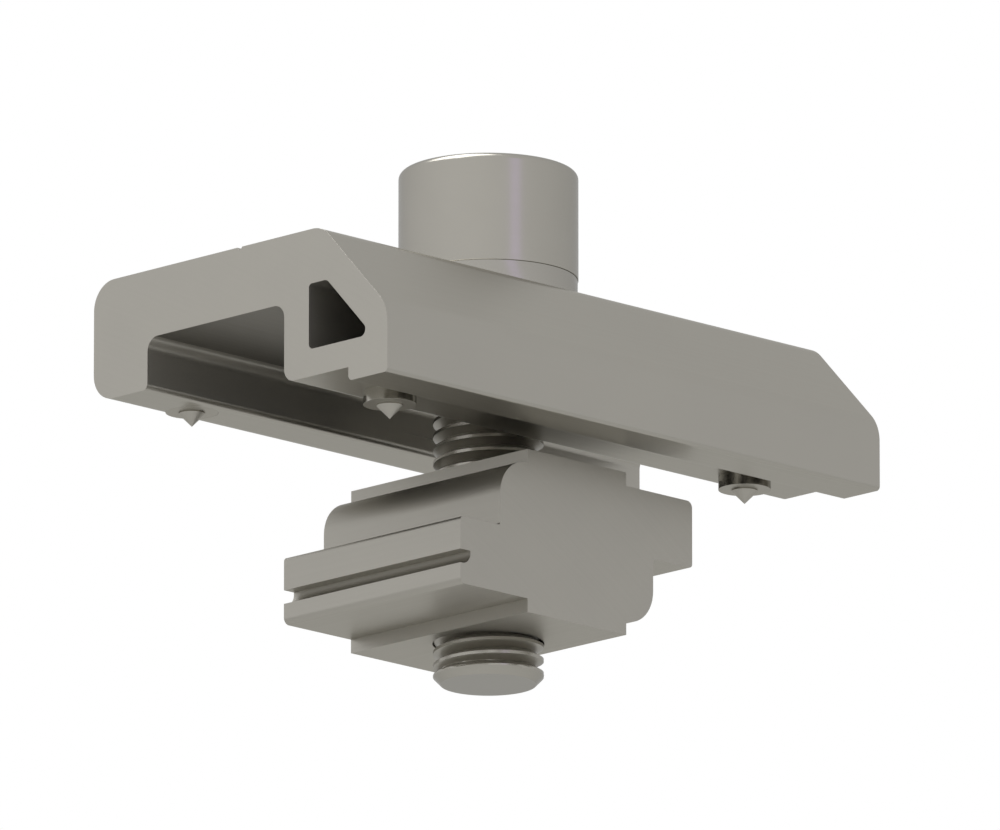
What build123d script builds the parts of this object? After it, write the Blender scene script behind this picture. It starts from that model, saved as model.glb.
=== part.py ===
from build123d import *

import math
import os

# Solar rail clamp: an extruded clamp bar that joins two crossing mounting rails, its socket
# head screw with a spring lock washer, four earthing pins and the slot nut that hangs in the
# lower rail's channel. Millimetres, +Z up. The origin is on the screw's axis, in the plane of
# the long leg's foot. X runs across the bar, from the short leg to the long one, and Y along it.

# Clamp bar, as the cross-section of its extrusion
bar_length = 50.0
bar_width = 30.0
foot_to_top = 11.8
short_leg_lift = 3.0
short_leg_width = 5.55
web_clearance = 0.55
top_wall = 5.0
web_lift = 1.0
foot_width = 3.94
shoulder_width = 3.85
chamfer_down = 6.95
top_corner_radius = 2.05
short_leg_outer_radius = 2.0
short_leg_inner_radius = 0.5
slot_ceiling_radius = 1.0
web_corner_radius = 1.0
foot_inner_radius = 0.4
foot_outer_radius = 0.3
side_corner_radius = 3.0
shoulder_radius = 2.3
centre_groove_width = 0.5
centre_groove_depth = 0.25

# Hollow chamber in the long leg
web_wall = 2.5
chamber_ceiling_drop = 4.0
chamber_floor_wall = 2.0
chamber_slope_wall = 2.41
chamber_radius = 0.4
chamber_tip_radius = 0.5

# Socket head screw, M8 x 30. Its shank is drawn plain, at the thread's outer diameter
screw_diameter = 8.0
screw_length = 29.9
head_diameter = 13.0
head_height = 8.0
head_rim_radius = 0.5
socket_across_flats = 6.0
socket_depth = 4.0
socket_point_angle = 120.0
screw_end_chamfer = 0.55
screw_hole_clearance = 0.25

# Spring lock washer, drawn flat as it lies when the screw is tight
washer_diameter = 12.9
washer_thickness = 2.0
washer_bore_clearance = 0.15
washer_split_width = 0.8
washer_split_lean = 20.0
washer_split_bearing = 135.0

# Earthing pins
pin_disc_radius = 1.9
pin_disc_height = 1.0
pin_shank_radius = 1.2
pin_shank_length = 1.8
pin_collar_radius = 0.95
pin_collar_height = 0.1
pin_tip_angle = 90.0
pin_end_inset = 7.0
long_leg_pin_inset = 2.9
short_leg_pin_inset = 2.9
pin_fit = 0.01

# Slot nut, as the cross-section of its extrusion across the bar
nut_length = 18.0
nut_height = 12.0
nut_hang = 1.1
plate_width = 10.0
plate_height = 1.0
body_width = 15.5
body_land = 0.05
wing_span = 23.5
wing_height = 4.93
wing_face_radius = 0.5
wing_back_radius = 0.3
wing_root_radius = 0.2
lip_groove_height = 1.0
lip_groove_depth = 1.0
lip_groove_radius = 0.8
lip_groove_lift = 1.51
nut_bore_clearance = 0.12

# Worked out from the sizes above
bar_left = -bar_width / 2
bar_right = bar_width / 2
short_leg_inside = bar_left + short_leg_width
screw_radius = screw_diameter / 2
web_left = screw_radius + web_clearance
slot_ceiling = foot_to_top - top_wall
foot_inside = bar_right - foot_width
chamfer_top_x = web_left + shoulder_width
chamfer_side_z = foot_to_top - chamfer_down
screw_seat = foot_to_top + washer_thickness
screw_tip = screw_seat - screw_length
nut_top = -nut_hang
nut_bottom = nut_top - nut_height
pin_row = bar_length / 2 - pin_end_inset
long_leg_pin_x = foot_inside - long_leg_pin_inset
short_leg_pin_x = bar_left + short_leg_pin_inset


def outline(corners):
    """A closed outline from corners given as (across, up, corner radius)."""
    points = [(across, up) for across, up, _ in corners]
    radii = [radius for _, _, radius in corners]
    return FilletPolyline(*points, radius=radii, close=True)


def centred_extrusion(plane, corners, length, holes=()):
    """Extrudes an outline both ways from its plane, without the outlines of its holes."""
    section = make_face(outline(corners))
    for hole in holes:
        section -= make_face(outline(hole))
    return extrude(plane * section, length / 2, both=True)


def standing_cylinder(radius, low, high, at=(0, 0)):
    """A cylinder along Z between two heights."""
    lowest = (Align.CENTER, Align.CENTER, Align.MIN)
    return Pos(*at, low) * Cylinder(radius, high - low, align=lowest)


def bar_outline():
    """The bar's outside, from its top left corner round by the slot and the foot."""
    half_groove = centre_groove_width / 2
    return [
        (-half_groove, foot_to_top, 0),
        (bar_left, foot_to_top, top_corner_radius),
        (bar_left, short_leg_lift, short_leg_outer_radius),
        (short_leg_inside, short_leg_lift, short_leg_inner_radius),
        (short_leg_inside, slot_ceiling, slot_ceiling_radius),
        (web_left, slot_ceiling, slot_ceiling_radius),
        (web_left, web_lift, web_corner_radius),
        (foot_inside, web_lift, 0),
        (foot_inside, 0, foot_inner_radius),
        (bar_right, 0, foot_outer_radius),
        (bar_right, chamfer_side_z, side_corner_radius),
        (chamfer_top_x, foot_to_top, shoulder_radius),
        (half_groove, foot_to_top, 0),
        (0, foot_to_top - centre_groove_depth, 0),
    ]


def chamber_outline():
    """The chamber: upright beside the web, level top and floor, and a side along the chamfer."""
    left = web_left + web_wall
    ceiling = foot_to_top - chamber_ceiling_drop
    floor = web_lift + chamber_floor_wall
    chamfer_across = bar_right - chamfer_top_x
    slope = chamfer_down / chamfer_across
    slope_length = math.hypot(chamfer_across, chamfer_down)
    # the chamfer's line moved inwards by the wall, read off where it crosses z = 0
    crossing = bar_right + chamfer_side_z / slope
    crossing -= chamber_slope_wall * slope_length / chamfer_down
    return [
        (left, floor, chamber_radius),
        (left, ceiling, chamber_radius),
        (crossing - ceiling / slope, ceiling, chamber_radius),
        (crossing - floor / slope, floor, chamber_tip_radius),
    ]


def pin_seats():
    """Each pin's name, its place in plan and the height of its disc's lower face."""
    for side, y in (("near", -pin_row), ("far", pin_row)):
        yield f"long_leg_{side}_pin", (long_leg_pin_x, y), web_lift - pin_disc_height
        yield f"short_leg_{side}_pin", (short_leg_pin_x, y), short_leg_lift


def make_pin(place, face):
    """A turned pin: shank, disc, low collar and a sharp cone that bites into the rail."""
    disc_top = face + pin_disc_height
    shank_top = disc_top + pin_shank_length
    collar_low = face - pin_collar_height
    cone_height = pin_collar_radius / math.tan(math.radians(pin_tip_angle / 2))
    profile = Polyline(
        (0, shank_top),
        (pin_shank_radius, shank_top),
        (pin_shank_radius, disc_top),
        (pin_disc_radius, disc_top),
        (pin_disc_radius, face),
        (pin_collar_radius, face),
        (pin_collar_radius, collar_low),
        (0, collar_low - cone_height),
        close=True,
    )
    return Pos(*place, 0) * revolve(Plane.XZ * make_face(profile), Axis.Z)


def pin_pocket(place, face):
    """The stepped hole that a pin's disc and shank are pressed into."""
    disc_top = face + pin_disc_height
    shank_top = disc_top + pin_shank_length
    disc = standing_cylinder(pin_disc_radius + pin_fit, face - pin_disc_height, disc_top, place)
    return disc + standing_cylinder(pin_shank_radius + pin_fit, face, shank_top, place)


def make_clamp_bar():
    bar = centred_extrusion(Plane.XZ, bar_outline(), bar_length, holes=[chamber_outline()])
    hole_radius = screw_radius + screw_hole_clearance
    bar -= standing_cylinder(hole_radius, slot_ceiling - top_wall / 2, foot_to_top + top_wall)
    for _, place, face in pin_seats():
        bar -= pin_pocket(place, face)
    return bar


def make_screw():
    head_top = screw_seat + head_height
    head = standing_cylinder(head_diameter / 2, screw_seat, head_top)
    head = fillet(head.edges().filter_by(GeomType.CIRCLE).sort_by(Axis.Z)[-1], head_rim_radius)
    point_height = socket_across_flats / 2 / math.tan(math.radians(socket_point_angle / 2))
    socket_floor = head_top - socket_depth
    hexagon = RegularPolygon(socket_across_flats / 2, 6, major_radius=False)
    socket = extrude(Pos(0, 0, socket_floor) * hexagon, socket_depth)
    socket += Pos(0, 0, socket_floor - point_height) * Cone(
        0, socket_across_flats / 2, point_height, align=(Align.CENTER, Align.CENTER, Align.MIN)
    )
    shank = standing_cylinder(screw_radius, screw_tip, screw_seat)
    shank = chamfer(shank.edges().filter_by(GeomType.CIRCLE).sort_by(Axis.Z)[0], screw_end_chamfer)
    return head - socket + shank


def make_washer():
    """A flat ring with one slanting cut, on the side away from the long leg's near end."""
    ring = standing_cylinder(washer_diameter / 2, foot_to_top, screw_seat)
    ring -= standing_cylinder(screw_radius + washer_bore_clearance, foot_to_top, screw_seat)
    outwards = (Align.MIN, Align.CENTER, Align.CENTER)
    cut = Box(washer_diameter, washer_split_width, 3 * washer_thickness, align=outwards)
    cut = Rot(0, 0, washer_split_bearing) * Rot(washer_split_lean, 0, 0) * cut
    return ring - Pos(0, 0, foot_to_top + washer_thickness / 2) * cut


def nut_half_outline():
    """Half of the nut's outline, from its top plate down round the lower wing to the bottom plate.

    The other half is the same, turned by half a turn about the middle of the section.
    """
    half_plate = plate_width / 2
    half_body = body_width / 2
    half_height = nut_height / 2
    half_span = wing_span / 2
    shoulder = half_height - plate_height
    wing_top = wing_height - shoulder
    return [
        (-half_plate, half_height, 0),
        (-half_plate, shoulder, 0),
        (-half_body, shoulder, half_body - half_plate - body_land),
        (-half_body, wing_top, wing_root_radius),
        (-half_span, wing_top, wing_back_radius),
        (-half_span, -shoulder, wing_face_radius),
        (-half_plate, -shoulder, 0),
        (-half_plate, -half_height, 0),
    ]


def lip_groove():
    """The groove along the lower wing's face: a flat roof and a rounded floor."""
    face = -wing_span / 2
    low = -nut_height / 2 + plate_height + lip_groove_lift
    high = low + lip_groove_height
    return [
        (face - lip_groove_depth, low, 0),
        (face - lip_groove_depth, high, 0),
        (face + lip_groove_depth, high, 0),
        (face + lip_groove_depth, low, lip_groove_radius),
    ]


def make_slot_nut():
    """The nut, with a plain hole that clears the screw's thread."""
    half = nut_half_outline()
    turned = [(-across, -up, radius) for across, up, radius in half]
    nut = centred_extrusion(Plane.YZ, half + turned, nut_length)
    nut -= centred_extrusion(Plane.YZ, lip_groove(), 2 * nut_length)
    nut -= standing_cylinder(screw_radius + nut_bore_clearance, -nut_height, nut_height)
    return Pos(0, 0, (nut_top + nut_bottom) / 2) * nut


parts = {
    "clamp_bar": make_clamp_bar(),
    "clamp_screw": make_screw(),
    "spring_washer": make_washer(),
    "slot_nut": make_slot_nut(),
}
for name, place, face in pin_seats():
    parts[name] = make_pin(place, face)

os.makedirs("parts", exist_ok=True)
for name, solid in parts.items():
    solid.label = name
    export_step(solid, f"parts/{name}.step")
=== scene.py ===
# %% [markdown]
# # A solar rail clamp
#
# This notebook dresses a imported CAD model: the clamp that screws a mounting rail for solar panels
# down onto the rail that crosses below it. The CAD gives every size and every joint. Each piece
# gets a finer surface here and the finish of its real metal, and then come light and a camera.
#
# Everything is in metres in the CAD's frame. Z points up along the screw, Y runs along the clamp
# bar and X across it. Sizes are written in millimetres, as on a drawing, and turned to metres
# where a mesh is made.

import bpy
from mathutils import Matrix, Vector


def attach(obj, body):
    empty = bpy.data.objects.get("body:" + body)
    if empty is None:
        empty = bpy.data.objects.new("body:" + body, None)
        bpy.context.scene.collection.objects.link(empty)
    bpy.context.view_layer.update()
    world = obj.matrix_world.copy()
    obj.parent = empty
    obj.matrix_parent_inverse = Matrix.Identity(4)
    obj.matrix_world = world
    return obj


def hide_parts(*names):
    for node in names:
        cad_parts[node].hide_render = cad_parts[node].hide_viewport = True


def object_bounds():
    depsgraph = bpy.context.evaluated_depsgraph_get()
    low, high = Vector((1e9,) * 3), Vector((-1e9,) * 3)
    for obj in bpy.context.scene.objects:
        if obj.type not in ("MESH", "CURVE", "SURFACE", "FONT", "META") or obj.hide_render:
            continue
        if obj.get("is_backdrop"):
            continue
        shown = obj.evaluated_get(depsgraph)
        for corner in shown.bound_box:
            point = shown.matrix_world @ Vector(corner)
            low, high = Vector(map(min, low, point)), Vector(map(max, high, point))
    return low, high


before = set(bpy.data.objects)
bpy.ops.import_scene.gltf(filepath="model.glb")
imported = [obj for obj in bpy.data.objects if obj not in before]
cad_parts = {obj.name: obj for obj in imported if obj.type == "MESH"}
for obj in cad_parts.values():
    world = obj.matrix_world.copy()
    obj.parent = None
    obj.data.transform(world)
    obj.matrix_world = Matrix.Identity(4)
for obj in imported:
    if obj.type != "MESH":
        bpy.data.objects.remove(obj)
cad_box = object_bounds()

# %% [markdown]
# ## Tools for the whole notebook
#
# numpy works out all the points of a surface at once. bpy turns them into meshes, and bmesh
# cleans a mesh where two rows of points fall together.

# %% Libraries and the unit
import math

import bmesh
import bpy
import numpy as np

MM = 0.001
MICROMETRE = 0.001 * MM

# %% [markdown]
# ## The camera
#
# The clamp is seen from below its near right corner, so that the slot, the pins and the nut all
# show. The lens is very long, as in a product view: edges that are parallel on the object stay
# nearly parallel in the picture. The position, the two angles and the focal length were worked
# out from the corners of the object, so they are written here as plain numbers.

# %% Place the camera
seen_from_below, turned_round = 14.0165, 45.1214

camera_data = bpy.data.cameras.new("product_camera")
camera_data.lens = 771.64
camera_data.sensor_width = 36.0
camera = bpy.data.objects.new("product_camera", camera_data)
camera.location = (1.06179, -1.05612, -0.36999)
camera.rotation_euler = (math.radians(90 + seen_from_below), 0.0, math.radians(turned_round))
bpy.context.collection.objects.link(camera)
bpy.context.scene.camera = camera
print("camera distance:", round(camera.location.length, 3), "m")

# %% [markdown]
# ## Rounded outlines
#
# Both aluminium pieces are extrusions: one outline, pushed through a die and cut to length. The
# outline is a list of corners, each with the radius that the die gives it. Arcs could be drawn as
# curve objects, but points that are worked out stay exact and can be moved inwards by a known
# amount, which the next step needs.

# %% Corners to points
same_place = 1e-6


def rounded_outline(corners, steps=12):
    """Points along a closed outline, from corners given as (across, up, radius).

    An arc's centre lies on the bisector of its corner, the radius over the sine of half the
    corner's angle away. Its ends are the radius over that angle's tangent from the corner. Between
    them the direction from the centre turns evenly: the two end directions are mixed by the sines
    of the angles that are left and done. Of points that fall together, one is kept.
    """
    corners = np.array(corners, float)
    point, radius = corners[:, :2], corners[:, 2:]
    back = np.roll(point, 1, axis=0) - point
    ahead = np.roll(point, -1, axis=0) - point
    back /= np.linalg.norm(back, axis=1, keepdims=True)
    ahead /= np.linalg.norm(ahead, axis=1, keepdims=True)
    half = np.arccos((back * ahead).sum(axis=1, keepdims=True)) / 2
    bisector = (back + ahead) / np.linalg.norm(back + ahead, axis=1, keepdims=True)
    centre = point + bisector * radius / np.sin(half)
    start = point + back * radius / np.tan(half) - centre
    end = point + ahead * radius / np.tan(half) - centre
    turn = (np.pi - 2 * half)[:, None]
    done = np.linspace(0, 1, steps + 1)[None, :, None]
    arc = np.sin((1 - done) * turn) * start[:, None] + np.sin(done * turn) * end[:, None]
    points = (centre[:, None] + arc / np.sin(turn)).reshape(-1, 2)
    step = np.linalg.norm(points - np.roll(points, 1, axis=0), axis=1)
    return points[step > same_place]


def mitres(outline):
    """For each point, how far it moves outwards when both its edges move out by one.

    That is the sum of the two edges' unit normals, over one plus their dot product.
    """
    edge = np.roll(outline, -1, axis=0) - outline
    across, up = outline.T
    area = (across * np.roll(up, -1) - np.roll(across, -1) * up).sum()
    edge *= np.sign(area) / np.linalg.norm(edge, axis=1, keepdims=True)
    normal = np.stack((edge[:, 1], -edge[:, 0]), axis=1)
    before = np.roll(normal, 1, axis=0)
    return (normal + before) / (1 + (normal * before).sum(axis=1, keepdims=True))


square = [(0, 0, 0.1), (1, 0, 0.1), (1, 1, 0.1), (0, 1, 0.1)]
print("points round a square with rounded corners:", len(rounded_outline(square)))

# %% [markdown]
# ## From rings of points to a solid
#
# A solid is a stack of rings: each ring has the same number of points, and four-sided faces join
# it to the next one. Two flat faces close the ends. A sawn end never has a perfectly sharp edge,
# so the outline shrinks a little over the last rings, along a quarter circle. That rounding is
# only about a hundredth of a millimetre, so the edges look sharp and hardly catch any light.

# %% Rings, faces and meshes
merge_distance, least_edge = 1e-7, 1e-8


def end_rings(length, ease, beyond=0.0):
    """Where the rings of an extrusion stand, and how far each is drawn inwards.

    On a quarter circle with angle t, the inset is ease times one less sine t, and the ring stands
    ease times one less cosine t short of the end. A cutter goes on beyond the ends, and there its
    outline moves outwards.
    """
    angle = np.linspace(0, np.pi / 2, 4)
    reach = length / 2 - ease * (1 - np.cos(angle))
    inset = ease * (1 - np.sin(angle))
    if beyond:
        reach = np.insert(reach, 0, length / 2 + beyond)
        inset = -np.insert(inset, 0, ease)
    return np.concatenate((-reach, reach[::-1])), np.concatenate((inset, inset[::-1]))


def extrusion(outline, stations, along):
    """A stack of rings: the outline less its mitres times the inset, set at each distance."""
    reach, inset = stations
    rings = outline - mitres(outline) * inset[:, None, None]
    return np.insert(rings, along, np.broadcast_to(reach[:, None], rings.shape[:2]), axis=2)


def ring_quads(rings, columns, lift=0):
    """Faces between neighbouring rings. The last column meets the first one lift rings higher."""
    row = np.arange(rings - 1)[:, None]
    column = np.arange(columns)[None, :]
    beside = (column + 1) % columns
    seam = np.where(column == columns - 1, lift, 0)
    low = np.minimum(row + seam, rings - 1)
    high = np.minimum(row + 1 + seam, rings - 1)
    quads = (row * columns + column, low * columns + beside)
    quads += (high * columns + beside, (row + 1) * columns + column)
    return np.stack(quads, axis=-1).reshape(-1, 4)


def solid(name, rings, quads=None):
    """An object in metres from a stack of rings in millimetres, with both ends closed."""
    count, columns = rings.shape[:2]
    if quads is None:
        quads = ring_quads(count, columns)
    first = list(range(columns))[::-1]
    last = list(range((count - 1) * columns, count * columns))
    mesh = bpy.data.meshes.new(name)
    mesh.from_pydata((rings.reshape(-1, 3) * MM).tolist(), [], [*quads.tolist(), first, last])
    mesh.validate()
    merge_and_turn(mesh)
    made = bpy.data.objects.new(name, mesh)
    bpy.context.collection.objects.link(made)
    return made


def merge_and_turn(mesh):
    """Merges points that fall together and turns every face outwards."""
    shell = bmesh.new()
    shell.from_mesh(mesh)
    bmesh.ops.remove_doubles(shell, verts=shell.verts, dist=merge_distance)
    bmesh.ops.dissolve_degenerate(shell, edges=shell.edges, dist=least_edge)
    bmesh.ops.recalc_face_normals(shell, faces=shell.faces)
    shell.to_mesh(mesh)
    shell.free()


# %% [markdown]
# ## Holes
#
# Holes are drilled as in the workshop: a tool's solid is taken out of the blank with a Boolean
# modifier. The result is kept as a plain mesh, and the tools are thrown away. Most of the tools
# are turned: a profile of radii and heights is carried round an upright axis.

# %% Drilling
def drilled(blank, *tools):
    """Takes the tools' solids out of the blank and removes the tools."""
    for tool in tools:
        cut = blank.modifiers.new("cut", "BOOLEAN")
        cut.operation = "DIFFERENCE"
        cut.solver = "EXACT"
        cut.object = tool
    drawn = blank.evaluated_get(bpy.context.evaluated_depsgraph_get())
    mesh = bpy.data.meshes.new_from_object(drawn)
    blank.modifiers.clear()
    blank.data = mesh
    mesh.name = blank.name
    for tool in tools:
        bpy.data.objects.remove(tool)
    return blank


def about_axis(radius, angle, height, axis=(0.0, 0.0)):
    """Points round an upright axis.

    They stand off it by the radius times the angle's cosine along X, and times its sine along Y.
    """
    x = axis[0] + radius * np.cos(angle)
    y = axis[1] + radius * np.sin(angle)
    return np.stack((x, y, height + 0 * x), axis=-1)


def turned(name, profile, columns=64, axis=(0.0, 0.0)):
    """A solid of revolution about an upright axis, from a profile of (radius, height)."""
    radius, height = np.array(profile, float).T[:, :, None]
    angle = np.linspace(0, 2 * np.pi, columns, endpoint=False)
    return solid(name, about_axis(radius, angle, height, axis))


# %% [markdown]
# ## Colours and nodes
#
# Colours are read as sRGB, the way a colour picker gives them, and Blender's shaders want them
# linear. One small function adds a node with its settings and its links, so that a material
# reads as a list of what it is made of.

# %% Colour and node helpers
def linear(colour):
    """A hex colour as linear red, green, blue and alpha."""
    srgb = np.array([int(colour[i:i + 2], 16) for i in (1, 3, 5)]) / 255
    value = np.where(srgb <= 0.04045, srgb / 12.92, ((srgb + 0.055) / 1.055) ** 2.4)
    return (*value.tolist(), 1.0)


def add_node(tree, kind, inputs=None, **settings):
    """Adds a node. An input is a value, or the socket that feeds it."""
    node = tree.nodes.new(kind)
    for name, value in settings.items():
        setattr(node, name, value)
    for name, value in (inputs or {}).items():
        if isinstance(value, bpy.types.NodeSocket):
            tree.links.new(value, node.inputs[name])
        else:
            node.inputs[name].default_value = value
    return node


def new_material(name):
    """A material and its node tree, which is still empty."""
    material = bpy.data.materials.new(name)
    material.use_nodes = True
    material.node_tree.nodes.clear()
    return material, material.node_tree


print("middle grey in linear light:", round(linear("#808080")[0], 3))

# %% [markdown]
# ## What all the metals share
#
# A metal's colour is the colour of its reflections. Near its outline, where it is seen at a flat
# angle, any metal turns brighter, and the rim colour says how much of that it keeps: less where
# the surface is a little dirty or oxidised. Each metal has two patterns. One clouds its colour,
# and the other is the marks of its making, which change the roughness and lift the surface.

# %% From two patterns to a metal
aluminium_rim = linear("#eeede9")
satin_rim = linear("#e9e8e4")
steel_rim = linear("#e1e1e1")


def metal_surface(tree, clouds, marks, colours, roughness, lift, rim, metallic=1.0):
    """Colour from one noise, roughness and relief from the other.

    A noise keeps mostly between 0.3 and 0.7, so that range is spread over the roughness. The
    surface rises by up to a micrometre, times the lift.
    """
    dark, light = colours
    smooth, dull = roughness
    colour = add_node(tree, "ShaderNodeMix", {
        "Factor": clouds.outputs["Fac"], 6: linear(dark), 7: linear(light)}, data_type="RGBA")
    rough = add_node(tree, "ShaderNodeMapRange", {
        "Value": marks.outputs["Fac"], "From Min": 0.3, "From Max": 0.7,
        "To Min": smooth, "To Max": dull})
    relief = add_node(tree, "ShaderNodeBump", {
        "Height": marks.outputs["Fac"], "Strength": lift, "Distance": MICROMETRE})
    metal = add_node(tree, "ShaderNodeBsdfPrincipled", {
        "Base Color": colour.outputs[2], "Metallic": metallic, "Specular Tint": rim,
        "Roughness": rough.outputs["Result"], "Normal": relief.outputs["Normal"]})
    add_node(tree, "ShaderNodeOutputMaterial", {"Surface": metal.outputs["BSDF"]})


print("rims:", [round(rim[0], 3) for rim in (aluminium_rim, satin_rim, steel_rim)])

# %% [markdown]
# ## Mill finish aluminium
#
# Aluminium comes out of the die with a satin skin and faint straight lines, scored by the die
# along the length of the bar. A noise pattern that is stretched over a hundred times along the
# bar gives these lines. They stand a quarter of a millimetre apart, which is the widest that real
# ones are, so that they show. The noise changes the roughness a little and lifts the surface by
# less than a micrometre, so that the light breaks up along the bar and not across it. A second,
# wide noise is the cloudiness that mill finish has before it is anodised. The bar comes from a
# finer die and is a little smoother than the nut.
#
# Brushes in the finishing shop brighten the outside but don't reach into the slot and the chamber.
# The skins in there are a little dull and scatter some of the light, so they aren't quite metallic.
# The slot's ceiling is painted darker still: its colours are painted shade for the deep recess.

# %% Extruded skin
die_line_spacing = 0.25
die_line_length = 30.0
skin_cloud_size = 9.0
fresh_colours = ("#adaaa3", "#b1aea6")
# darker colours for the slot's ceiling, as painted shade
painted_shade_colours = ("#78756f", "#7c7973")
satin, fine_satin, slot_satin = (0.38, 0.44), (0.28, 0.33), (0.27, 0.33)


def extruded_skin(name, along, colours=fresh_colours, roughness=satin, rim=aluminium_rim,
                  metallic=1.0):
    """Satin aluminium with die lines along one axis: 0 is X, 1 is Y."""
    material, tree = new_material(name)
    place = add_node(tree, "ShaderNodeTexCoord").outputs["Object"]
    stretch = [1 / (die_line_spacing * MM)] * 3
    stretch[along] = 1 / (die_line_length * MM)
    lines_at = add_node(tree, "ShaderNodeMapping", {"Vector": place, "Scale": stretch})
    lines = add_node(tree, "ShaderNodeTexNoise", {
        "Vector": lines_at.outputs["Vector"], "Scale": 1.0, "Detail": 3.0, "Roughness": 0.6})
    clouds = add_node(tree, "ShaderNodeTexNoise", {
        "Vector": place, "Scale": 1 / (skin_cloud_size * MM), "Detail": 2.0})
    metal_surface(tree, clouds, lines, colours, roughness, lift=0.35, rim=rim, metallic=metallic)
    return material


bar_skin = extruded_skin("mill_finish_aluminium_bar", along=1, roughness=fine_satin,
                         rim=satin_rim)
nut_skin = extruded_skin("mill_finish_aluminium_nut", along=0)
chamber_skin = extruded_skin("dull_chamber_aluminium", along=1, metallic=0.87)
slot_skin = extruded_skin("smooth_slot_aluminium", along=1, roughness=slot_satin, metallic=0.8)
# the slot's ceiling gets darker colours, as painted shade for the recess
painted_ceiling_shade = extruded_skin("painted_shade_slot_aluminium", along=1, colours=painted_shade_colours,
                             metallic=0.87)
print("skins:", bar_skin.name, nut_skin.name, chamber_skin.name)
print("skins in the slot:", slot_skin.name, painted_ceiling_shade.name)

# %% [markdown]
# ## Sawn ends
#
# A circular saw cuts the extrusion to length. Its teeth leave shallow arcs, whose centre is the
# blade's axle, far outside the piece. Their real spacing is under 0.1 mm, so they are drawn three
# times as wide to show at all. The pattern is the distance from the axle, run through a noise.

# %% Sawn face
saw_radius = 150.0
saw_mark_spacing = 0.3
cut_cloud_size = 4.0
axle_across, axle_up = 0.5, 0.87


def sawn_face(name, flat):
    """Bright cut aluminium. The flat axis is the one that the face looks along.

    The axle lies a saw's radius away, 30 degrees off the upright. The Mapping node moves it to the
    pattern's origin, so that the length of the vector is the distance from the axle.
    """
    material, tree = new_material(name)
    place = add_node(tree, "ShaderNodeTexCoord").outputs["Object"]
    spread = [1.0, 1.0, 1.0]
    spread[flat] = 0.0
    axle = [part * saw_radius * MM for part in (axle_across, axle_across, axle_up)]
    axle[flat] = 0.0
    centred = add_node(tree, "ShaderNodeMapping", {
        "Vector": place, "Scale": spread, "Location": axle})
    reach = add_node(tree, "ShaderNodeVectorMath", {
        0: centred.outputs["Vector"]}, operation="LENGTH")
    marks = add_node(tree, "ShaderNodeTexNoise", {
        "W": reach.outputs["Value"], "Scale": 1 / (saw_mark_spacing * MM), "Detail": 3.0,
        "Roughness": 0.65}, noise_dimensions="1D")
    clouds = add_node(tree, "ShaderNodeTexNoise", {
        "Vector": place, "Scale": 1 / (cut_cloud_size * MM), "Detail": 3.0})
    metal_surface(tree, clouds, marks, fresh_colours, satin, lift=0.5, rim=aluminium_rim)
    return material


bar_cut = sawn_face("sawn_aluminium_bar", flat=1)
nut_cut = sawn_face("sawn_aluminium_nut", flat=0)
print("cut faces:", bar_cut.name, nut_cut.name)

# %% [markdown]
# ## Turned steel
#
# The screw and the pins are turned, and the tool leaves fine rings round the axis. On an upright
# face the rings follow the height, and on a level face they follow the distance from the axis, so
# the pattern is a noise over both. Each piece has its own axis, so both values are stored on its
# points as an attribute that the material reads. The head, the washer and the thread's crests
# are smoother than the aluminium and show clearer reflections. The thread's flanks are rolled and
# duller. A pin has bright sides, but its faces and its cone are dull. Real rings stand less than
# 0.1 mm apart, and on the large pieces they are drawn two or three times as wide to show.

# %% Steel finishes
steel_cloud_size = 3.0
bright_steel = ("#aba8a0", "#afaca4")
thread_colours = ("#b1aea6", "#b5b2aa")
washer_colours = ("#a9a69f", "#adaaa3")
pin_colours = ("#adaaa2", "#b1aea6")


def note_lathe_axis(piece, axis=(0.0, 0.0)):
    """Stores the distance from the piece's own axis and the height on every point."""
    mesh = piece.data
    place = np.empty(len(mesh.vertices) * 3, np.float32)
    mesh.vertices.foreach_get("co", place)
    place = place.reshape(-1, 3)
    section = np.zeros_like(place)
    section[:, 0] = np.linalg.norm(place[:, :2] - np.array(axis) * MM, axis=1)
    section[:, 1] = place[:, 2]
    mesh.attributes.new("lathe", "FLOAT_VECTOR", "POINT").data.foreach_set("vector", section.ravel())


def turned_steel(name, colours, roughness, ring_spacing, rim=steel_rim):
    """Steel with fine rings round the piece's own axis."""
    material, tree = new_material(name)
    place = add_node(tree, "ShaderNodeTexCoord").outputs["Object"]
    section = add_node(tree, "ShaderNodeAttribute", attribute_name="lathe")
    rings = add_node(tree, "ShaderNodeTexNoise", {
        "Vector": section.outputs["Vector"], "Scale": 1 / (ring_spacing * MM), "Detail": 3.0},
        noise_dimensions="2D")
    clouds = add_node(tree, "ShaderNodeTexNoise", {
        "Vector": place, "Scale": 1 / (steel_cloud_size * MM), "Detail": 2.0})
    metal_surface(tree, clouds, rings, colours, roughness, lift=0.4, rim=rim)
    return material


screw_steel = turned_steel("turned_stainless_steel", bright_steel, (0.2, 0.24), ring_spacing=0.2)
thread_steel = turned_steel("rolled_thread_steel", thread_colours, (0.34, 0.4), ring_spacing=0.1)
washer_steel = turned_steel("rolled_spring_steel", washer_colours, (0.2, 0.26), ring_spacing=0.35)
pin_side_steel = turned_steel("bright_pin_steel", bright_steel, (0.18, 0.22), ring_spacing=0.1)
pin_steel = turned_steel("dull_pin_steel", pin_colours, (0.39, 0.45), ring_spacing=0.1,
                         rim=satin_rim)
print("steels:", screw_steel.name, thread_steel.name, washer_steel.name)
print("pin steels:", pin_side_steel.name, pin_steel.name)

# %% [markdown]
# ## Dressing a piece
#
# Faces that meet at a small angle are shaded as one curved surface, and sharper edges stay
# crisp. Weighted normals let the large flat faces keep their own direction, so that a flat side
# stays flat right up to the arc beside it. The piece is then parented to an empty named after its
# CAD body, and the CAD's own mesh is hidden behind it.

# %% Dress and ride
sharp_edge = math.radians(25)


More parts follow.
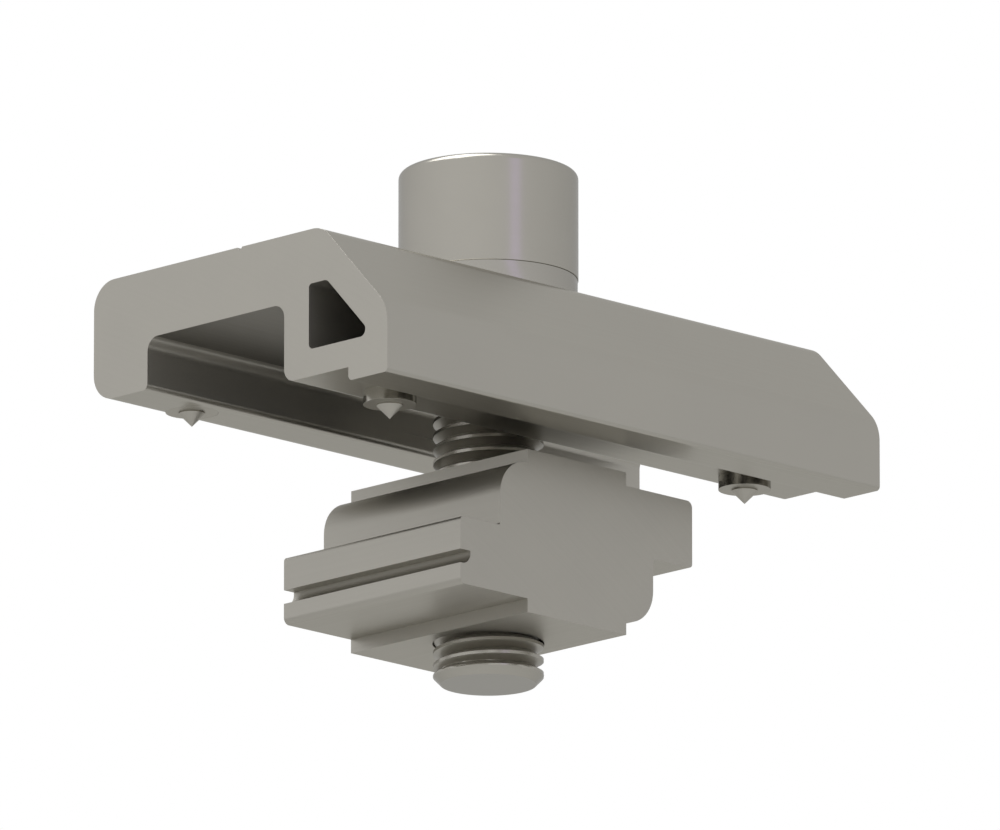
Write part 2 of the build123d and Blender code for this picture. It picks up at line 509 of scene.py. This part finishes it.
def face_values(piece, name):
    """The normals or the centres of a piece's faces, as rows of three."""
    values = np.empty(len(piece.data.polygons) * 3, np.float32)
    piece.data.polygons.foreach_get(name, values)
    return values.reshape(-1, 3)


def faces_along(piece, axis):
    """True for the faces that look straight along an axis, as a sawn end does."""
    return np.abs(face_values(piece, "normal")[:, axis]) > 0.999


def dressed(piece, body, nodes, skin, others=()):
    """Shades a piece, gives it its metal, parents it to its body's empty and hides the CAD's mesh.

    Others are further finishes, each with a true or false for every face.
    """
    mesh = piece.data
    mesh.materials.clear()
    mesh.materials.append(skin)
    finish = np.zeros(len(mesh.polygons), np.int32)
    for number, (material, is_there) in enumerate(others, start=1):
        mesh.materials.append(material)
        finish[is_there] = number
    mesh.polygons.foreach_set("material_index", finish)
    mesh.shade_smooth()
    mesh.set_sharp_from_angle(angle=sharp_edge)
    weighted = piece.modifiers.new("flat_faces_stay_flat", "WEIGHTED_NORMAL")
    weighted.keep_sharp = True
    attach(piece, body)
    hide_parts(*nodes)
    print(piece.name, "has", len(mesh.polygons), "faces")


# %% [markdown]
# ## The clamp bar
#
# The bar is one extrusion, 50 mm long. Going round its outline: the flat top with a fine V
# groove that marks where the screw goes, the short leg on the left, the slot over the nut, the
# web, the step down to the long leg's foot, and the sloping shoulder. A closed chamber runs
# through the long leg. It saves metal where the leg needs none.

# %% Bar outline and chamber
bar_length, half_bar = 50.0, 15.0
top, slot_ceiling, web_face, short_leg_face = 11.8, 6.8, 1.0, 3.0
slot_left, slot_right, foot_left = -9.45, 4.55, 11.06
slope_low, slope_top = 4.85, 8.4
centre_notch = 0.25
edge_ease = 0.008
bar_outline = rounded_outline([
    (-centre_notch, top, 0), (-half_bar, top, 2.05),
    (-half_bar, short_leg_face, 2.0), (slot_left, short_leg_face, 0.5),
    (slot_left, slot_ceiling, 1.0), (slot_right, slot_ceiling, 1.0),
    (slot_right, web_face, 1.0), (foot_left, web_face, 0),
    (foot_left, 0, 0.4), (half_bar, 0, 0.3),
    (half_bar, slope_low, 3.0), (slope_top, top, 2.3),
    (centre_notch, top, 0), (0, top - centre_notch, 0),
])

chamber_left, chamber_corner, chamber_tip = 7.05, 8.875, 13.433
chamber_floor, chamber_ceiling = 3.0, 7.8
chamber_outline = rounded_outline([
    (chamber_left, chamber_floor, 0.4), (chamber_left, chamber_ceiling, 0.28),
    (chamber_corner, chamber_ceiling, 0.7), (chamber_tip, chamber_floor, 0.5),
])

bar = solid("bar_extrusion", extrusion(
    bar_outline, end_rings(bar_length, edge_ease), along=1))
chamber = solid("chamber_tool", extrusion(
    chamber_outline, end_rings(bar_length, edge_ease, beyond=1.0), along=1))
print("outline points:", len(bar_outline))

# %% [markdown]
# The hole for the screw goes down through the web into the slot. Four blind holes take the
# earthing pins: two in the short leg are stepped, so that a pin's disc lies flush with the
# leg's face, and two in the long leg take only the shanks. A drill starts outside the bar. Which
# finish a face gets follows from where its centre lies in the cross-section.

# %% Drill the bar
pin_row = 18.0
long_leg_x, short_leg_x = 8.16, -12.1
long_leg_disc, short_leg_disc = 0.0, short_leg_face
disc_height, shank_length = 1.0, 1.8
screw_hole, shank_hole, disc_hole = 4.25, 1.21, 1.91

tools = [chamber, turned("screw_drill", [(screw_hole, 5.0), (screw_hole, 13.0)], columns=96)]
for y in (-pin_row, pin_row):
    disc_top = long_leg_disc + disc_height
    tools.append(turned("long_leg_drill", [
        (shank_hole, web_face - 0.5), (shank_hole, disc_top + shank_length)],
        axis=(long_leg_x, y)))
    disc_top = short_leg_disc + disc_height
    tools.append(turned("short_leg_drill", [
        (disc_hole, short_leg_face - 1.0), (disc_hole, disc_top),
        (shank_hole, disc_top), (shank_hole, disc_top + shank_length)],
        axis=(short_leg_x, y)))
drilled(bar, *tools)


def within(piece, left, right, low, high):
    """True for the faces whose centre lies in a window of the cross-section."""
    across, _, up = face_values(piece, "center").T / MM
    return (across > left) & (across < right) & (up > low) & (up < high)


slot_mouth, margin, hair = 1.9, 0.05, 0.01
is_sawn = faces_along(bar, 1)
is_chamber = ~is_sawn & within(bar, chamber_left - margin, chamber_tip + margin,
                               chamber_floor - margin, chamber_ceiling + margin)
is_slot = ~is_sawn & within(bar, slot_left - margin, slot_right + margin,
                            slot_mouth, slot_ceiling + margin)
# the faces of the slot's ceiling, which get the painted shade
is_ceiling = is_slot & within(bar, slot_left, slot_right,
                              slot_ceiling - hair, slot_ceiling + margin)
dressed(bar, "clamp", ["clamp_bar"], bar_skin,
        [(bar_cut, is_sawn), (chamber_skin, is_chamber), (slot_skin, is_slot),
         (painted_ceiling_shade, is_ceiling)])

# %% [markdown]
# ## The screw thread
#
# The thread is one V shaped ridge wound round the shank. A grid of straight rings would cut
# across the ridge and fray its crest. Here every column of the grid has the same heights across
# one pitch, root to root, and each column stands a little higher than the one before. After one
# turn it is one pitch up, so the last column meets the first one a whole pitch higher, and the
# grid's lines run exactly along crest and root.
#
# The thread runs out into a full ring at the screw's tip. Where the two surfaces meet, a soft
# maximum keeps the seam smooth. It lifts the crest a little, so the crest is drawn 0.02 mm low.

# %% Thread surface
pitch = 1.0
crest_radius = 3.98
crest_width = 0.22
flank_lean = math.tan(math.radians(30))
softness = 0.04
columns = 96
turn_parts = np.arange(columns) / columns
thread_start = 0.555
across_pitch = np.array([-0.5, -0.46, -0.41, -0.36, -0.31, -0.26, -0.21, -0.16, -0.11,
                         0.0, 0.11, 0.16, 0.21, 0.26, 0.31, 0.36, 0.41, 0.46])


def thread_rings(low, high, low_radius, high_radius, full_ring=0.0, room=0.0):
    """Rings of a right-hand thread between two heights.

    Height = pitch times (turn + place across the pitch + part of the turn). Radius = crest less
    the distance from the crest's flat over the tangent of 30 degrees. Near the lower end the
    groove is filled up to a flank that runs straight round, which leaves a full ring there. The
    higher one counts, softly: half of their sum and of the root of their squared difference
    plus the softness squared, which adds up to half the softness. A cone of 45 degrees takes the
    thread down to a plain circle at each end.
    """
    start = math.floor(low / pitch - 2)
    turns = math.ceil(high / pitch) - start + 2
    turn = np.arange(turns)[:, None, None]
    place = turn + across_pitch[None, :, None] + turn_parts + thread_start
    height = pitch * (start + place).reshape(-1, columns)
    flank = (np.abs(across_pitch) * pitch - crest_width / 2) / flank_lean
    radius = np.minimum(crest_radius - flank, crest_radius)
    radius = np.broadcast_to(radius[None, :, None], place.shape).reshape(-1, columns)
    filled = crest_radius + (low + full_ring - height) / flank_lean
    filled = np.minimum(filled, crest_radius)
    apart = np.hypot(radius - filled, softness)
    radius = (radius + filled + apart) / 2 + room
    radius = np.minimum(radius, low_radius + height - low)
    radius = np.minimum(radius, high_radius + high - height)
    radius = np.where(height <= low, low_radius, radius)
    radius = np.where(height >= high, high_radius, radius)
    return about_axis(radius, 2 * np.pi * turn_parts, np.clip(height, low, high))


print("rows across one pitch:", len(across_pitch))

# %% [markdown]
# ## The screw
#
# An M8 x 30 socket head screw, with a fine pitch of 1 mm. Above the thread come plain rings: the
# neck, the head with its rounded rim, and the hexagon socket. The socket's mouth is a shallow
# cone, and where that cone meets the six flats it leaves the scalloped edge that a real socket
# has: each point of the hexagon's ring drops by how far it stands inside the cone's rim.

# %% Build the screw
seat, tip = 13.8, -16.1
head_radius, head_top, head_rounding = 6.5, seat + 8.0, 0.5
neck_height, neck_top, neck_radius = 12.8, 13.4, 3.5
under_head, tip_radius, tip_ring = 3.9, 3.45, 0.68
edge_break = 0.03
socket_half, socket_floor, mouth_radius = 3.0, 17.8, 3.62
drill_point = 0.1

bearing = 2 * np.pi * turn_parts
hexagon = socket_half / np.cos((bearing + np.pi / 6) % (np.pi / 3) - np.pi / 6)
mouth_drop = (mouth_radius - hexagon) * flank_lean
point_drop = (socket_half - drill_point) * flank_lean

rim = np.linspace(0, np.pi / 2, 13)
rim_rings = np.stack((head_radius - head_rounding * (1 - np.cos(rim)),
                      head_top - head_rounding * (1 - np.sin(rim))), axis=-1)
head_rings = [
    (neck_radius, neck_top), (under_head, seat),
    (head_radius - edge_break, seat), (head_radius, seat + edge_break),
    *rim_rings,
    (mouth_radius, head_top), (hexagon, head_top - mouth_drop),
    (hexagon, socket_floor), (socket_half, socket_floor),
    (drill_point, socket_floor - point_drop)]
rows = [np.broadcast_arrays(radius, height, bearing)[:2] for radius, height in head_rings]
radius, height = np.array(rows).swapaxes(0, 1)
head = about_axis(radius, bearing, height)

thread = thread_rings(tip, neck_height, tip_radius, neck_radius, full_ring=tip_ring)
thread_quads = ring_quads(len(thread), columns, lift=len(across_pitch))
head_quads = ring_quads(len(head) + 1, columns) + (len(thread) - 1) * columns
screw = solid("screw_turned", np.concatenate((thread, head)),
              np.concatenate((thread_quads, head_quads)))
note_lathe_axis(screw)
x, y, z = face_values(screw, "center").T / MM
above_tip, below_crest = 0.55, 0.02
is_flank = (z > tip + above_tip) & (z < neck_height)
is_flank &= np.hypot(x, y) < crest_radius - below_crest
dressed(screw, "screw", ["clamp_screw"], screw_steel, [(thread_steel, is_flank)])

# %% [markdown]
# ## The spring washer
#
# A ring of square wire, cut through on a slant. Pressed flat under the head it looks like a
# plain ring with one narrow slanting gap. The ring is swept round from one wall of the gap to
# the other: the walls are parallel planes, so the angle where the ring starts depends on the
# radius and the height of each point of its section.

# %% Build the washer
bore, ring_radius = 4.15, 6.45
ring_section = rounded_outline([
    (bore, top, 0.05), (ring_radius, top, 0.05),
    (ring_radius, seat, 0.03), (bore, seat, 0.03)], steps=4)
gap_width, gap_lean, gap_bearing = 0.8, math.radians(20), math.radians(135)
section_radius, section_height = ring_section.T
slant = (section_height - (top + seat) / 2) * math.tan(gap_lean)
near_wall = np.arcsin((gap_width / 2 / math.cos(gap_lean) - slant) / section_radius)
far_wall = np.arcsin((-gap_width / 2 / math.cos(gap_lean) - slant) / section_radius)
round_it = np.linspace(0, 1, 145)[:, None]
angle = gap_bearing + near_wall + round_it * (2 * np.pi + far_wall - near_wall)
washer = solid("lock_washer_ring", about_axis(section_radius, angle, section_height))
note_lathe_axis(washer)
dressed(washer, "screw", ["spring_washer"], washer_steel)

# %% [markdown]
# ## The slot nut
#
# The nut is extruded too, but across the clamp bar. Its outline is the same after half a turn:
# a plate on top and one below, and a wing on each side. A groove along the lower wing's face
# lets the nut snap behind the lip of the rail's channel. The hole is tapped with the screw's own
# surface, with a little room, so the two threads mesh in every position of the joint. Both ends
# of the hole are opened up, as before tapping. The lower one goes in straight at first, because
# the full ring at the screw's tip comes to lie in it when the nut is at its lowest. All the tools
# start outside the nut.

# %% Build the nut
nut_length, half_height, nut_middle = 18.0, 6, -7.1
half_plate, shoulder = 5, 5
half_body, half_span, wing_top = 7.75, 11.75, -0.07
groove_low, groove_high, groove_depth = -3.49, -2.49, 1.0

half_nut = np.array([
    (-half_plate, half_height, 0), (-half_plate, shoulder, 0),
    (-half_body, shoulder, 2.7), (-half_body, wing_top, 0.2),
    (-half_span, wing_top, 0.3), (-half_span, -shoulder, 0.5),
    (-half_plate, -shoulder, 0), (-half_plate, -half_height, 0)])
nut_corners = np.concatenate((half_nut, half_nut * (-1, -1, 1)))
nut_corners[:, 1] += nut_middle
groove_start, groove_floor = -half_span - groove_depth, -half_span + groove_depth
groove_corners = np.array([
    (groove_start, groove_low, 0), (groove_start, groove_high, 0),
    (groove_floor, groove_high, 0), (groove_floor, groove_low, 0.8)])
groove_corners[:, 1] += nut_middle

nut = solid("nut_extrusion", extrusion(
    rounded_outline(nut_corners), end_rings(nut_length, edge_ease), along=0))
groove = solid("groove_tool", extrusion(
    rounded_outline(groove_corners), end_rings(nut_length, edge_ease, beyond=1.0), along=0))

tap_low, tap_high, tap_end, tap_room = -14.5, 0.3, 3.4, 0.06
upper_cone = [(3.2, -2.02), (4.22, -1.0)]
lower_bore = [(4.03, -14.0), (4.03, -12.38), (3.3, -11.96)]
tap_rings = thread_rings(tap_low, tap_high, tap_end, tap_end, room=tap_room)
tap = solid("tap_tool", tap_rings,
            ring_quads(len(tap_rings), columns, lift=len(across_pitch)))
upper_mouth = turned("upper_mouth_tool", upper_cone, columns=columns)
lower_mouth = turned("lower_mouth_tool", lower_bore, columns=columns)
drilled(nut, groove, tap, upper_mouth, lower_mouth)
dressed(nut, "nut", ["slot_nut"], nut_skin, [(nut_cut, faces_along(nut, 0))])

# %% [markdown]
# ## The earthing pins
#
# Rails are anodised, and the anodised skin doesn't conduct. Each pin is pressed into the bar and
# has a hard point that bites through the skin of the rail under it. A pin is a turned part:
# shank, disc, a thin collar and the cone.

# %% Build the pins
disc_radius, pin_shank, collar_radius, collar_height = 1.9, 1.2, 0.95, 0.1
cone_edge, disc_edge, shank_edge = 0.02, 0.007, 0.05
upright = 0.1


def pin_profile(face):
    """Radius and height from the tip up. The face is the disc's lower side.

    The cone is as high as it is wide at one side, so each step down is a step inwards.
    """
    collar = face - collar_height
    disc_top = face + disc_height
    shank_top = disc_top + shank_length
    return [
        (cone_edge, collar - (collar_radius - cone_edge)),
        (collar_radius - cone_edge, collar - cone_edge), (collar_radius, collar),
        (collar_radius, face), (disc_radius - disc_edge, face),
        (disc_radius, face + disc_edge), (disc_radius, disc_top - disc_edge),
        (disc_radius - disc_edge, disc_top), (pin_shank, disc_top),
        (pin_shank, shank_top - shank_edge), (pin_shank - shank_edge, shank_top)]


legs = (("long_leg", long_leg_x, long_leg_disc), ("short_leg", short_leg_x, short_leg_disc))
for side, y in (("near", -pin_row), ("far", pin_row)):
    for leg, x, face in legs:
        pin = turned(f"{leg}_{side}_pin_turned", pin_profile(face), axis=(x, y))
        note_lathe_axis(pin, (x, y))
        is_side = np.abs(face_values(pin, "normal")[:, 2]) < upright
        dressed(pin, "clamp", [f"{leg}_{side}_pin"], pin_steel,
                [(pin_side_steel, is_side)])

# %% [markdown]
# ## Light and floor
#
# Metal shows what is around it. The clamp hangs in a bright white room, so its faces look light
# grey and only the places that see other metal go dark: the slot, the chamber and the gaps. The
# slot's ceiling is darker still by painted shade in its colour. One side of the room is a little
# brighter, which tells the ends from the sides. A narrow cool lamp draws the upright streak on the
# screw's head, and a softbox above it draws the white line on the head's rim. The softbox is small
# and near, so that little of its light comes back from the floor to the undersides. The floor is
# well below the clamp, because the camera looks up from under it.

# %% Studio
world = bpy.data.worlds.new("white_room")
world.use_nodes = True
room = world.node_tree
brighter_side, room_level, room_slope = (0.174, -0.985, 0.0), 0.77, 0.11
way = add_node(room, "ShaderNodeTexCoord").outputs["Generated"]
towards = add_node(room, "ShaderNodeVectorMath", {0: way, 1: brighter_side},
                   operation="DOT_PRODUCT")
level = add_node(room, "ShaderNodeMath", {
    0: towards.outputs["Value"], 1: room_slope, 2: room_level}, operation="MULTIPLY_ADD")
# the camera sees plain white behind the clamp, whatever the room's level is
seen = add_node(room, "ShaderNodeLightPath").outputs["Is Camera Ray"]
strength = add_node(room, "ShaderNodeMix", {
    0: seen, 2: level.outputs["Value"], 3: 1.0}, data_type="FLOAT")
room.nodes["Background"].inputs["Color"].default_value = (1.0, 1.0, 1.0, 1.0)
room.links.new(strength.outputs[0], room.nodes["Background"].inputs["Strength"])
bpy.context.scene.world = world


def soft_lamp(name, place, width, height, radiance, colour="#ffffff"):
    """A rectangular lamp that faces the clamp and isn't seen itself.

    Its power is radiance times pi times its area.
    """
    data = bpy.data.lights.new(name, "AREA")
    data.shape = "RECTANGLE"
    data.size, data.size_y = width, height
    data.energy = radiance * math.pi * width * height
    data.color = linear(colour)[:3]
    lamp = bpy.data.objects.new(name, data)
    lamp.location = place
    lamp.rotation_euler = (-lamp.location).to_track_quat("-Z", "Y").to_euler()
    lamp.visible_camera = False
    bpy.context.collection.objects.link(lamp)


soft_lamp("strip_lamp", (0.86, -0.152, 0.218), width=0.2, height=0.5, radiance=0.28,
          colour="#c59bff")
soft_lamp("top_softbox", (-0.043, -0.118, 0.272), width=0.23, height=0.262, radiance=3.0)

floor_level, reach = -0.45, 4
floor_mesh = bpy.data.meshes.new("studio_floor")
floor_mesh.from_pydata([
    (-reach, -reach, floor_level), (reach, -reach, floor_level),
    (reach, reach, floor_level), (-reach, reach, floor_level)], [], [(0, 1, 2, 3)])
floor = bpy.data.objects.new("studio_floor", floor_mesh)
bpy.context.collection.objects.link(floor)
paint, tree = new_material("pale_floor_paint")
speckle = add_node(tree, "ShaderNodeTexNoise", {"Scale": 40.0, "Detail": 2.0})
tone = add_node(tree, "ShaderNodeMix", {
    "Factor": speckle.outputs["Fac"], 6: linear("#e7e7e5"), 7: linear("#ebebe9")},
    data_type="RGBA")
surface = add_node(tree, "ShaderNodeBsdfPrincipled", {
    "Base Color": tone.outputs[2], "Roughness": 0.8})
# from underneath the floor is clear, so that the clamp can be looked at from below too
clear = add_node(tree, "ShaderNodeBsdfTransparent")
underside = add_node(tree, "ShaderNodeNewGeometry").outputs["Backfacing"]
one_sided = add_node(tree, "ShaderNodeMixShader", {
    0: underside, 1: surface.outputs["BSDF"], 2: clear.outputs["BSDF"]})
add_node(tree, "ShaderNodeOutputMaterial", {"Surface": one_sided.outputs["Shader"]})
floor_mesh.materials.append(paint)
floor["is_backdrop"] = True

# %% [markdown]
# ## Check the size and finish
#
# The dressed clamp has to stay inside the CAD's box, so both boxes are written down side by
# side. The view transform is Standard, which shows a colour as it is written.

# %% Sizes and finish
bpy.context.scene.view_settings.view_transform = "Standard"
dressed_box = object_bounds()
boxes = {"cad": [list(corner) for corner in cad_box],
         "dressed": [list(corner) for corner in dressed_box]}
for name, (low, high) in boxes.items():
    print(name, [round((b - a) / MM, 3) for a, b in zip(low, high)], "mm")
